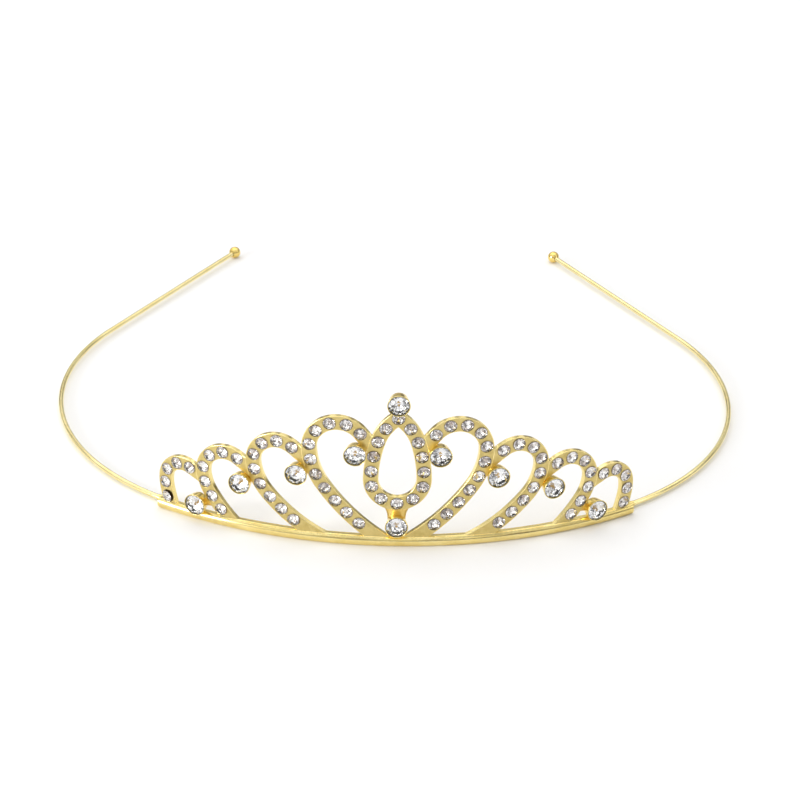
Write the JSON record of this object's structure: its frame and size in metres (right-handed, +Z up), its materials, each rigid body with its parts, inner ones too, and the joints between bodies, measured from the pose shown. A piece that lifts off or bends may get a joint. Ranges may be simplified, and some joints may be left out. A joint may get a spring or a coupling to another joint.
{
  "type": "mini crown headband",
  "caption": "Small pierced crown set with clear round stones, soldered to a sprung gold wire headband with ball tips.",
  "frame": {"origin": "middle of the whole object's box, on the surface that it rests on", "axes": "+Z up, towards the crown's top stone; -Y the way the crown's stones face; +X across, towards the wearer's left"},
  "size_m": [0.1596, 0.1518, 0.038],
  "materials": {
    "crown_metal": "satin pale gold plate, smoother and brighter along its bevelled edges and on the rail",
    "wire_metal": "polished pale gold plate",
    "stone": "clear faceted glass with a foiled back"
  },
  "bodies": {
    "root": {"crown_frame": "crown_metal", "headband_wire": "wire_metal", "tip_ball_left": "wire_metal", "tip_ball_right": "wire_metal", "pave_pear": "stone", "stone_top": "stone", "stone_base": "stone", "pave_left_1": "stone", "pave_left_2": "stone", "pave_left_3": "stone", "pave_left_4": "stone", "pave_right_1": "stone", "pave_right_2": "stone", "pave_right_3": "stone", "pave_right_4": "stone", "stone_left_1": "stone", "stone_left_2": "stone", "stone_left_3": "stone", "stone_left_4": "stone", "stone_right_1": "stone", "stone_right_2": "stone", "stone_right_3": "stone", "stone_right_4": "stone"}
  },
  "joints": []
}
